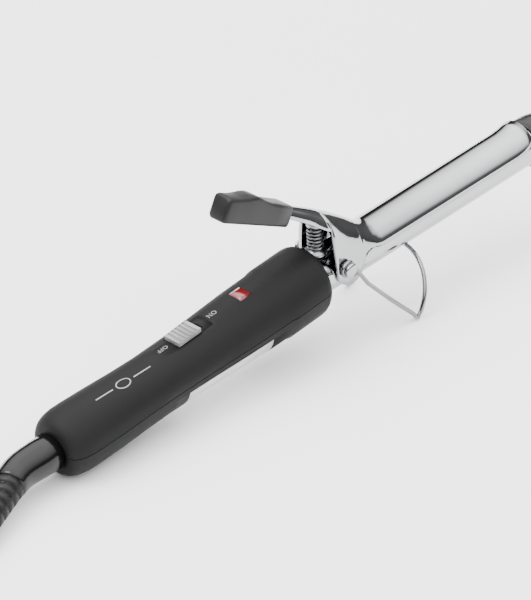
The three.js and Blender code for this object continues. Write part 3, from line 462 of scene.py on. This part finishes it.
# ------------------------------------------------------------ barrel
# A drawn brass tube, nickel and chromium plated to a mirror, held in the handle by two bushes of
# brown phenolic. The plating shows only the faintest drift of gloss.
# Chromium over nickel on a drawn tube: a cool mirror with hardly any texture.
chromium = surface(
    "chromium_plate", "a9aaac", "b2b3b5", (0.045, 0.085), 6.0, 0.004, cloud_mm=30.0, metallic=1.0,
)
dress(smoothed("barrel_tube", "plated_barrel", 35), chromium)
# Pressed phenolic: dull brown with a mottled filler.
phenolic = surface("brown_phenolic", "3a2418", "52341f", (0.5, 0.62), 0.8, 0.05, cloud_mm=4.0)
for node in ("front_bush", "rear_bush"):
    dress(smoothed(node, "phenolic_" + node), phenolic)

# ------------------------------------------------------------ heater
# Two aluminium half rounds press two electrode strips and three fired ceramic stones together
# inside the barrel, and a thermal fuse in its steel case lies behind them.
# Extruded aluminium: pale grey with a soft drawn sheen.
extruded_aluminium = surface(
    "extruded_aluminium", "a9abad", "bcbec0", (0.35, 0.5), 0.4, 0.04, cloud_mm=6.0, metallic=1.0,
)
for node in ("heater_block_upper", "heater_block_lower", "electrode_upper", "electrode_lower"):
    dress(smoothed(node, "aluminium_" + node), extruded_aluminium)
# Fired ceramic: matt, warm grey and finely pitted.
fired_ceramic = surface("fired_ceramic", "7d776c", "938c80", (0.7, 0.85), 0.3, 0.05, cloud_mm=2.0)
for place in (1, 2, 3):
    dress(smoothed(f"heating_stone_{place}", f"ptc_stone_{place}"), fired_ceramic)
dress(smoothed("thermal_fuse", "fuse_case", 50), plated_steel)

# ------------------------------------------------------------ cool tip
# A black heat-proof nylon plug in the barrel's open end, to hold the iron by while it is hot.
# Glass-filled nylon from a smooth mould: black with a broad soft highlight.
heat_nylon = surface(
    "heat_proof_nylon", "060607", "0a0a0b", (0.22, 0.32), 0.6, 0.03, cloud_mm=8.0,
    Specular_IOR_Level=0.3,
)
dress(smoothed("cool_tip", "nylon_tip", 35), heat_nylon)

# ------------------------------------------------------------ clip and thumb pad
# One pressed steel sheet, chromium plated like the barrel: a jaw that lies round its upper side,
# two ears and a lever. A moulded nylon pad is pushed over the lever's end for the thumb.
# Chromium on pressed sheet: a mirror with the faint waviness of the press.
clip_plate = surface(
    "chromium_plated_sheet", "9fa0a2", "a9aaac", (0.05, 0.1), 8.0, 0.006, cloud_mm=25.0,
    metallic=1.0,
)
dress(smoothed("clip", "pressed_clip", 50), clip_plate)
# Moulded nylon with a satin face: dark grey-black and half glossy.
satin_nylon = surface(
    "satin_nylon", "0d0d0e", "131314", (0.34, 0.44), 0.5, 0.04, cloud_mm=8.0,
    Specular_IOR_Level=0.25,
)
dress(smoothed("thumb_pad", "lever_pad", 40), satin_nylon)

# ------------------------------------------------------------ rivets and spring
# Two shouldered chromium-plated rivets are the clip's pivot and carry the stand. A seat on the
# barrel and a peg under the lever hold a coil spring of hard-drawn wire between them.
for node in ("pivot_rivet_near", "pivot_rivet_far"):
    dress(smoothed(node, node.replace("pivot", "shouldered"), 40), clip_plate)
# Spring wire in a darker, duller grey than the plated steel.
spring_wire = surface(
    "dark_grey_spring_wire", "6f7073", "85868a", (0.3, 0.42), 0.3, 0.02, cloud_mm=3.0,
    metallic=1.0,
)
for node, made in (("spring_seat", "seat_cup"), ("spring_peg", "peg_stud")):
    dress(smoothed(node, made, 40), plated_steel)
dress(smoothed("clip_spring", "coil_spring", 70), spring_wire)

# ------------------------------------------------------------ wire stand
# One length of chromium-plated steel wire, bent into a foot with two legs whose eyes turn on the
# rivets, so that it folds back along the barrel.
# Chromium on the wire, given a base colour much darker than the barrel's plating: painted shade for the
# dark reflections along the thin wire.
painted_shade_wire_chrome = surface(
    "chromium_wire_painted_dark", "77787b", "838487", (0.07, 0.12), 4.0, 0.004, cloud_mm=12.0,
    metallic=1.0,
)
dress(smoothed("wire_stand", "bent_wire_stand", 70), painted_shade_wire_chrome)

# ------------------------------------------------------------ cord swivel
# A glossy black cap turns in the handle's rear end and bends the cord aside. It carries a ringed
# strain relief of soft PVC, and a brass drum inside that two sprung blades touch.
dress(smoothed("swivel_cap", "turning_cap", 35), gloss_abs)
# Soft PVC moulding: black with a faint bloom.
soft_pvc = surface(
    "soft_pvc_moulding", "0a0a0b", "101011", (0.42, 0.54), 0.8, 0.06, cloud_mm=8.0,
    Specular_IOR_Level=0.25,
)
relief = smoothed("strain_relief", "ringed_relief", 35)
dress(relief, soft_pvc)
for node in ("contact_drum", "contact_blade_live", "contact_blade_neutral"):
    dress(smoothed(node, "brass_" + node), sheet_brass)

# ------------------------------------------------------------ inner leads
# PVC-insulated single leads from the contacts to the switch and on to the heater.
# Coloured PVC insulation: even colour with a waxy sheen.
red_pvc = surface("red_pvc_insulation", "8c1a1a", "a32222", (0.4, 0.5), 0.6, 0.02, cloud_mm=5.0)
blue_pvc = surface("blue_pvc_insulation", "1f3f86", "2a4d9c", (0.4, 0.5), 0.6, 0.02, cloud_mm=5.0)
for node, insulation, slot in (
    ("lead_live", red_pvc, "red_insulation"),
    ("lead_switched", red_pvc, "red_insulation"),
    ("lead_neutral", blue_pvc, "blue_insulation"),
):
    dress(smoothed(node, "insulated_" + node, 70), insulation)

# ------------------------------------------------------------ plug and tie
# The flex is moulded into a flat two-pin plug with nickel-plated pins, and a woven strap with a
# hook-and-loop face holds the coil together.
plug = smoothed("plug_body", "moulded_plug", 40)
dress(plug, soft_pvc)
# Nickel plate on brass pins: a warm grey, brightly polished.
nickel = surface(
    "nickel_plated_pin", "a3a19c", "b5b3ae", (0.18, 0.28), 0.6, 0.01, cloud_mm=6.0, metallic=1.0,
)
for place in (1, 2):
    pin = smoothed(f"plug_pin_{place}", f"nickel_pin_{place}", 40)
    dress(pin, nickel)
# Woven nylon strap: black, matt and coarse to the light.
woven = surface("woven_nylon_strap", "101011", "1c1c1d", (0.75, 0.9), 0.5, 0.2, cloud_mm=1.5)
strap = smoothed("cord_tie", "coil_strap")
dress(strap, woven)

# ------------------------------------------------------------ stage and light
# A seamless white studio table. A broad bright ceiling, a mid-grey room on the near side and a dark
# one on the far side shape the plating, and one large soft light gives the shadow its side.
table_size = 30
table_drop = 0.2 * MM
bpy.ops.mesh.primitive_plane_add(size=table_size, location=(0, 0, -table_drop))
table = bpy.context.active_object
table.name = "studio_table"
# Matt white background paper.
paper = surface("white_studio_paper", "f2f2f2", "f6f6f6", (0.85, 0.95), 2.0, 0.02, cloud_mm=300.0)
table.data.materials.append(paper)

world = bpy.data.worlds.new("studio")
bpy.context.scene.world = world
world.use_nodes = True
tree = world.node_tree
tree.nodes.clear()
ways = add(tree, "ShaderNodeTexCoord").outputs["Generated"]
parts = add(tree, "ShaderNodeSeparateXYZ", {"Vector": ways})
ceiling = add(tree, "ShaderNodeValToRGB", {"Fac": parts.outputs["Z"]})
ceiling.color_ramp.elements[0].position = 0.0
ceiling.color_ramp.elements[0].color = (0.025, 0.025, 0.025, 1)
ceiling.color_ramp.elements[1].position = 0.85
ceiling.color_ramp.elements[1].color = (1, 1, 1, 1)
for position, bright in ((0.25, 0.05), (0.42, 0.45)):
    ceiling.color_ramp.elements.new(position).color = (bright, bright, bright, 1)
far_side = add(
    tree, "ShaderNodeMapRange", {"Value": parts.outputs["Y"]},
    interpolation_type="SMOOTHSTEP", From_Min=0.2, From_Max=0.8, To_Min=0.0, To_Max=0.85,
)
low_down = add(
    tree, "ShaderNodeMapRange", {"Value": parts.outputs["Z"]},
    interpolation_type="SMOOTHSTEP", From_Min=0.2, From_Max=0.5, To_Min=1.0, To_Max=0.0,
)
shade = add(
    tree, "ShaderNodeMath", {0: far_side.outputs["Result"], 1: low_down.outputs["Result"]},
    operation="MULTIPLY",
)
left = add(tree, "ShaderNodeMath", {1: shade.outputs["Value"]}, operation="SUBTRACT")
left.inputs[0].default_value = 1.0
level = add(
    tree, "ShaderNodeMath", {0: left.outputs["Value"], 1: ceiling.outputs["Color"]},
    operation="MULTIPLY",
)
room_strength = 5.0
backdrop = add(
    tree, "ShaderNodeBackground", {"Color": level.outputs["Value"]}, Strength=room_strength,
)
add(tree, "ShaderNodeOutputWorld", {"Surface": backdrop.outputs["Background"]})

key_data = bpy.data.lights.new("key", "AREA")
key_data.shape = "DISK"
key_data.size = 0.9
key_data.energy = 22  # watts
key = bpy.data.objects.new("key", key_data)
key.location = (-0.9, 0.35, 1.3)
key.rotation_euler = (-Vector(key.location)).to_track_quat("-Z", "Y").to_euler()
bpy.context.scene.collection.objects.link(key)
